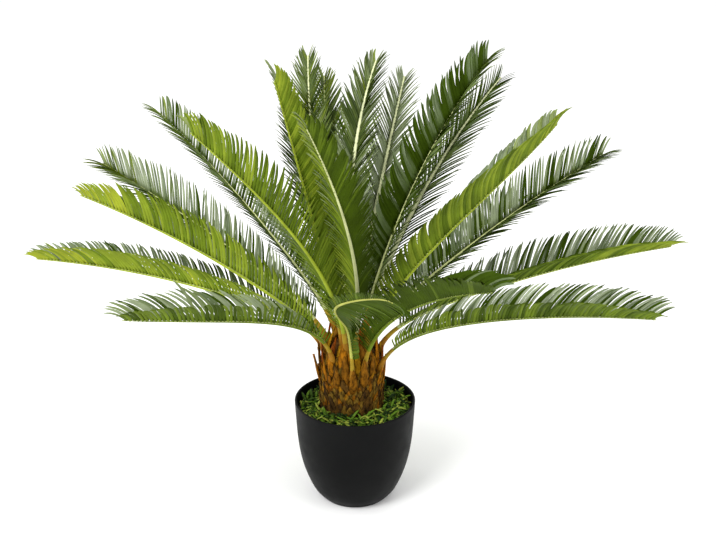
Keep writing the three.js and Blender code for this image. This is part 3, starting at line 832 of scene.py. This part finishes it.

# Colour, roughness and gloss of the glossy upper and the matt under face; the upper colours of Mid and Fresh
# are greyed a little as painted sheen, and the last, a pale grey-green that is painted sheen, is dealt out
# apart
leafShades = {
    "Deep": (((0.029, 0.053, 0.002), 0.7, 0.03), ((0.041, 0.070, 0.002), 0.6, 0.05)),
    "Mid": (((0.062, 0.098, 0.018), 0.4, 0.6), ((0.076, 0.120, 0.004), 0.55, 0.08)),
    "Fresh": (((0.104, 0.146, 0.030), 0.4, 0.75), ((0.115, 0.170, 0.008), 0.55, 0.08)),
    "Lime": (((0.132, 0.180, 0.014), 0.42, 0.4), ((0.182, 0.240, 0.016), 0.55, 0.08)),
    "Yellow": (((0.180, 0.226, 0.012), 0.45, 0.2), ((0.254, 0.298, 0.020), 0.55, 0.08)),
    "Pale": (((0.185, 0.228, 0.115), 0.4, 0.6), ((0.20, 0.25, 0.06), 0.55, 0.08)),
}


def frondFrom(row):
    own = row[len(frondValues):]
    return {**frondRule, **dict(zip(frondValues, row)), **(own[0] if own else {})}


fronds = {tier: [frondFrom(row) for row in rows] for tier, rows in frondRows.items()}


def ribFrame(frond, share):
    # Direction and side of a rib at a share of its length
    bent = math.copysign((abs(share) / frond["bendShare"]) ** frond["bendPower"], share)
    foot = max(rib["steepFoot"] - frond["rise"], 0) * math.exp(-bent)
    climb = math.radians(frond["rise"] - frond["arch"] * share + foot)
    swing = frond["swing"] * math.sin(2 * math.pi * share)
    turn = math.radians(frond["heading"] + frond["sway"] * share + swing)
    along = Vector((math.cos(climb) * math.cos(turn), math.cos(climb) * math.sin(turn), math.sin(climb)))
    side = Vector((-math.sin(turn), math.cos(turn), 0))
    side.rotate(Quaternion(along, math.radians(frond["roll"])))
    return along, side


def ribLine(frond):
    # Follows a rib from just inside the trunk to its tip: place, side direction and share of the length
    length, footRadius, heading = frond["length"], frond["foot"], math.radians(frond["heading"])
    climb = math.sqrt(1 - (footRadius / trunk["radius"]) ** 2)
    place = Vector((footRadius * math.cos(heading) + trunk["offsetX"], footRadius * math.sin(heading),
                    trunk["domeBase"] + trunk["domeRise"] * climb))
    start = -rib["sink"] / length
    step = (1 - start) / rib["segments"]
    place -= ribFrame(frond, start / 2)[0] * rib["sink"]
    line = []
    for i in range(rib["segments"] + 1):
        share = start + step * i
        line.append((place.copy(), ribFrame(frond, share)[1], share))
        place += ribFrame(frond, share + step / 2)[0] * step * length
    return line


def growthAt(share):
    knots = leaflet["growth"]
    for (a, low), (b, high) in zip(knots, knots[1:]):
        if share <= b:
            return low + (high - low) * max(0.0, share - a) / (b - a)
    return knots[-1][1]


def ribMesh(name, rows, seedStart):
    # Polylines of several ribs, with what the node trees need at each point
    looks = (
        "fold", "sweep", "leftReach", "rightReach", "pace", "broad", "leftBroad", "rightBroad", "rightShade",
        "leftYellow", "rightYellow", "leftPale", "rightPale", "tone", "yellowTip", "ribTone", "clump",
    )
    points, edges = [], []
    values = {label: [] for label in ("ribSide", "share", "growth", "ribHalf", "frondSeed", *looks)}
    for number, frond in enumerate(rows):
        stoutness = frond["stout"] * (1 + rib["paleWidening"] * frond["ribTone"])
        for i, (place, side, share) in enumerate(ribLine(frond)):
            if i:
                edges.append((len(points) - 1, len(points)))
            points.append(place)
            values["ribSide"].extend(side)
            values["share"].append(share)
            nearTip = max(share - leaflet["taperFrom"], 0) / (1 - leaflet["taperFrom"])
            values["growth"].append(growthAt(share) * frond["reach"] * (1 - frond["taper"] * nearTip))
            width = rib["footWidth"] + (rib["tipWidth"] - rib["footWidth"]) * max(share, 0)
            values["ribHalf"].append(width / 2 * stoutness)
            values["frondSeed"].append(seedStart + number)
            for label in looks:
                values[label].append(frond[label])
    mesh = bpy.data.meshes.new(name)
    mesh.from_pydata(points, edges, [])
    for label, numbers in values.items():
        kind = ("FLOAT_VECTOR", "vector") if label == "ribSide" else ("FLOAT", "value")
        mesh.attributes.new(label, kind[0], "POINT").data.foreach_set(kind[1], numbers)
    return mesh


def leafletHalf(s):
    # Half width at a share of the length: broad at the foot, blunt at the tip
    broad = max(1.0, leaflet["footBroad"] - leaflet["footNarrowing"] * s)
    return leaflet["width"] / 2 * broad * (1 - s ** leaflet["bluntness"]) ** leaflet["tipRoundness"]


def leafletMesh(name, handed):
    # One leaflet, a unit long, leaving along +X and bending to one side, with its glossy face to +Z
    places, points, faces, upper = leaflet["sections"], [], [], []
    steps = len(places) - 1
    bend, thickness = math.radians(leaflet["bend"]), leaflet["thickness"]
    x = y = 0.0
    for i, s in enumerate(places):
        turn = bend * s**2
        half = leafletHalf(s) if i < steps else leaflet["tipHalf"]
        acrossX, acrossY = -math.sin(turn) * handed, math.cos(turn)
        margin, keel = leaflet["channel"] * half, -leaflet["keel"] * half - thickness
        droop = leaflet["droop"] * s**2
        for part, z in ((-half, margin), (0, thickness), (half, margin), (0, keel)):
            points.append((x + acrossX * part, y + acrossY * part, z - droop))
        step = places[min(i + 1, steps)] - s
        middle = bend * (s + step / 2) ** 2
        x += math.cos(middle) * step
        y += math.sin(middle) * step * handed
    for i in range(steps):
        for j in range(4):
            k = (j + 1) % 4
            faces.append((i * 4 + j, i * 4 + 4 + j, i * 4 + 4 + k, i * 4 + k))
            upper.append(j < 2)
    faces.append((0, 1, 2, 3))
    faces.append(tuple(steps * 4 + j for j in (3, 2, 1, 0)))
    upper += [False, False]
    mesh = meshFrom(name, points, faces)
    mesh.attributes.new("upperFace", "BOOLEAN", "FACE").data.foreach_set("value", upper)
    margins = {frozenset((i * 4 + j, i * 4 + 4 + j)) for i in range(steps) for j in (0, 2)}
    for edge in mesh.edges:
        edge.use_edge_sharp = frozenset(edge.vertices) in margins
    return mesh


def leafletTree(finishes):
    # Two rows of leaflets along each rib, folded up, in clumps, dealt out in shades
    n = NodeMaker("leafletRows", {
        "Object": ("Left Leaflet", "Right Leaflet"), "Int": ("Seed",),
        "Float": ("Spacing", "First", "Last", "Length", "Sweep Loss", "Loss Power", "Clump", "Clumps Per Rib",
                  "Jitter", "Twist", "Strays", "Beside")})
    given = n.given
    curve = n.out("GeometryNodeMeshToCurve", {"Mesh": given["Geometry"]})
    pace = n.math("MULTIPLY", given["Spacing"], n.attribute("pace"))
    points = n.out("GeometryNodeResampleCurve", {"Curve": curve, "Length": pace}, mode="LENGTH")
    tangent = n.out("GeometryNodeInputTangent")
    side = n.attribute("ribSide", "FLOAT_VECTOR")
    up = n.vector("CROSS_PRODUCT", tangent, side)
    share = n.attribute("share")
    inRange = n.both(n.more(share, given["First"]), n.more(given["Last"], share))
    frondStep, rowStep = leaflet["waveSteps"]
    spread = leaflet["shadeSpread"]
    # palest is the number of the last finish, a pale grey-green that paints the sheen of light
    lastPlain, palest = len(finishes) - 2, len(finishes) - 1
    rows = []
    for sign, row, source in ((1, "left", "Left Leaflet"), (-1, "right", "Right Leaflet")):
        rowSeed = n.math("ADD", given["Seed"], leaflet["rowSeed"] * sign)
        seeds = {name: n.math("ADD", rowSeed, step) for name, step in leaflet["seedSteps"].items()}
        # Clumps, strays and a little jitter in how the leaflets leave the rib
        along = n.math("MULTIPLY", share, given["Clumps Per Rib"])
        offset = n.math("MULTIPLY_ADD", n.attribute("frondSeed"), frondStep, rowStep * sign)
        wave = n.out("ShaderNodeTexNoise", {"W": n.math("ADD", along, offset), "Scale": 1.0, "Detail": 2.0},
                     noise_dimensions="1D")
        strength = n.math("MULTIPLY", n.math("MULTIPLY", given["Clump"], 2.0), n.attribute("clump"))
        clump = n.math("MULTIPLY", n.math("SUBTRACT", wave, 0.5), strength)
        stray = n.math("LESS_THAN", n.random(0, 1, seeds["stray"]), given["Strays"])
        loss = n.math("MULTIPLY", n.math("POWER", share, given["Loss Power"]), given["Sweep Loss"])
        sweep = n.math("ADD", n.math("SUBTRACT", n.attribute("sweep"), loss), clump)
        sweep = n.math("MULTIPLY_ADD", n.random(-1, 1, seeds["sweep"]), given["Jitter"], sweep)
        sweep = n.math("RADIANS", n.math("MULTIPLY_ADD", stray, leaflet["straySweep"], sweep))
        fold = n.math("MULTIPLY_ADD", n.random(-1, 1, seeds["fold"]), given["Jitter"], n.attribute("fold"))
        fold = n.math("RADIANS", n.math("MULTIPLY_ADD", stray, leaflet["strayFold"], fold))
        outward = n.vector("ADD", n.scaled(side, n.math("MULTIPLY", n.math("COSINE", fold), sign)),
                           n.scaled(up, n.math("SINE", fold)))
        direction = n.vector("ADD", n.scaled(tangent, n.math("COSINE", sweep)),
                             n.scaled(outward, n.math("SINE", sweep)))
        face = n.scaled(n.vector("CROSS_PRODUCT", tangent, direction), sign)
        twist = n.math("MULTIPLY", n.random(-1, 1, seeds["twist"]), given["Twist"])
        turned = n.spun(n.turnedTo(direction, face), (1, 0, 0), twist)
        # Length and width
        size = n.math("MULTIPLY", given["Length"], n.random(*leaflet["lengthRange"], seeds["size"]))
        reach = n.math("MULTIPLY", n.attribute("growth"), n.attribute(row + "Reach"))
        long = n.math("MULTIPLY", size, reach)
        even = n.math("MULTIPLY", size, leaflet["evenWidth"])
        wide = n.math("MULTIPLY", n.math("ADD", long, even), 0.5)
        wide = n.math("MULTIPLY", wide, n.attribute("broad"))
        wide = n.math("MULTIPLY", wide, n.attribute(row + "Broad"))
        # Shade, yellower towards the tip
        yellow = n.math("MULTIPLY", n.attribute("yellowTip"), n.attribute(row + "Yellow"))
        tip = n.math("MULTIPLY", n.between(share, *leaflet["yellowShares"], 0.0, 1.0), yellow)
        tone = n.attribute("tone")
        # The right row is shifted lighter, or darker where negative, by its painted light and shade
        if row == "right":
            tone = n.math("ADD", tone, n.attribute("rightShade"))
        shade = n.math("ADD", n.math("ADD", tone, tip), n.random(-spread, spread, seeds["shade"]))
        shade = n.math("MAXIMUM", n.math("MINIMUM", n.math("ROUND", shade), lastPlain), 0)
        # Some leaflets take that pale finish, painted sheen
        pale = n.math("LESS_THAN", n.random(0, 1, seeds["pale"]), n.attribute(row + "Pale"))
        shade = n.math("MAXIMUM", shade, n.math("MULTIPLY", pale, palest))
        # Feet beside the rib's middle
        beside = n.scaled(side, n.math("MULTIPLY", n.attribute("ribHalf"), given["Beside"]))
        feet = n.out("GeometryNodeSetPosition", {"Geometry": points, "Offset": n.scaled(beside, sign)})
        scale = n.joinedXYZ(long, wide, long)
        rows.append(n.copies(feet, shade, given[source], turned, scale, inRange))
    joined = n.add("GeometryNodeJoinGeometry")
    for copies in rows:
        n.tree.links.new(copies, joined.inputs[0])
    whole = n.realized(joined.outputs[0])
    shade = n.attribute("shade", "INT")
    upper = n.attribute("upperFace", "BOOLEAN")
    for index, (glossy, matt) in enumerate(finishes):
        same = n.same(shade, index)
        whole = n.paint(whole, glossy, n.both(same, upper))
        whole = n.paint(whole, matt, n.both(same, upper, "NIMPLY"))
    return n.endWith(whole)


def ribTree(bands):
    # A flattened tube along each rib, flared at its foot, with bands of colour along it
    n = NodeMaker("frondRibs", {
        "Int": ("Segments", "Sides"), "Float": ("Flare", "Flare Share", "Flatness", "Root Width")})
    given = n.given
    curve = n.out("GeometryNodeMeshToCurve", {"Mesh": given["Geometry"]})
    curve = n.out("GeometryNodeResampleCurve", {"Curve": curve, "Count": given["Segments"]}, mode="COUNT")
    side = n.attribute("ribSide", "FLOAT_VECTOR")
    up = n.vector("CROSS_PRODUCT", n.out("GeometryNodeInputTangent"), side)
    curve = n.store(curve, "ribUp", up, "FLOAT_VECTOR")
    ribUp = n.attribute("ribUp", "FLOAT_VECTOR")
    curve = n.out("GeometryNodeSetCurveNormal", {"Curve": curve, "Normal": ribUp}, mode="FREE")
    share = n.attribute("share")
    rate = n.math("DIVIDE", n.math("MULTIPLY", share, -1), given["Flare Share"])
    flare = n.math("MULTIPLY_ADD", n.math("POWER", math.e, n.math("MINIMUM", rate, 0)), given["Flare"], 1.0)
    flare = n.math("MULTIPLY", flare, n.between(share, *rib["rootShares"], given["Root Width"], 1.0))
    ring = n.out("GeometryNodeCurvePrimitiveCircle", {"Resolution": given["Sides"], "Radius": 1.0})
    flat = n.joinedXYZ(given["Flatness"], 1.0, 1.0)
    ring = n.out("GeometryNodeTransform", {"Geometry": ring, "Scale": flat})
    mesh = n.out("GeometryNodeCurveToMesh", {
        "Curve": curve, "Profile Curve": ring, "Scale": n.math("MULTIPLY", n.attribute("ribHalf"), flare),
        "Fill Caps": True})
    mesh = n.out("GeometryNodeSetShadeSmooth", {"Geometry": mesh})
    facing = n.vector("DOT_PRODUCT", n.out("GeometryNodeInputNormal"), ribUp)
    upper = n.more(facing, rib["innerFacing"])
    for start, shades in bands:
        past = n.more(share, start)
        for tone, (inner, outer) in enumerate(shades):
            toned = n.both(past, n.more(n.attribute("ribTone"), tone - 0.5))
            mesh = n.paint(mesh, outer, toned)
            mesh = n.paint(mesh, inner, n.both(toned, upper))
    return n.endWith(mesh)


def ribBands():
    # From where along a rib, and for each rib shade, the finishes of its inner and outer side
    foot, stalk = leafFinish("ribFoot", *rib["foot"]), leafFinish("ribStalk", *rib["stalk"])
    inner, whitish = leafFinish("ribInner", *rib["inner"]), leafFinish("ribWhitish", *rib["whitish"])
    outer = [leafFinish(name, *look) for name, look in rib["outerShades"].items()]
    # The palest rib shade takes the whitish and pale finishes, partly painted sheen
    shades = [*((inner, finish) for finish in outer[:-1]), (whitish, outer[-1])]
    return [(-1.0, [(foot, foot)]), (rib["stalkFrom"], [(stalk, stalk)]), (rib["leafyFrom"], shades)]


def makeFronds():
    finishes = [
        (leafFinish(f"leaf{name}Top", *top), leafFinish(f"leaf{name}Under", *under))
        for name, (top, under) in leafShades.items()
    ]
    bands = ribBands()
    leftShape = newPiece("leftLeaflet", leafletMesh("leftLeaflet", -1))
    rightShape = newPiece("rightLeaflet", leafletMesh("rightLeaflet", 1))
    rowTree = leafletTree(finishes)
    values = {**leaflet, "leftLeaflet": leftShape, "rightLeaflet": rightShape}
    seedStart = 0
    for tier, rows in fronds.items():
        nodes = [f"frond_{tier}_{i + 1}" for i in range(len(rows))]
        piece = newPiece("leaflets_" + tier, ribMesh("leaflets_" + tier, rows, seedStart))
        runTree(piece, rowTree, {**values, "seed": leaflet["seed"] + seedStart})
        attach(piece, "root")
        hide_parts(*nodes)
        seedStart += len(rows)
        print("leaflets of the", tier, "fronds made with", len(piece.data.polygons), "faces")
    for source in (leftShape, rightShape):
        bpy.data.objects.remove(source)
    every = [frond for rows in fronds.values() for frond in rows]
    piece = newPiece("frondRibs", ribMesh("frondRibs", every, 0))
    runTree(piece, ribTree(bands), rib)
    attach(piece, "root")
    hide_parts(*[f"frond_{tier}_{i + 1}" for tier, rows in fronds.items() for i in range(len(rows))])
    print("ribs made with", len(piece.data.polygons), "faces")


makeFronds()
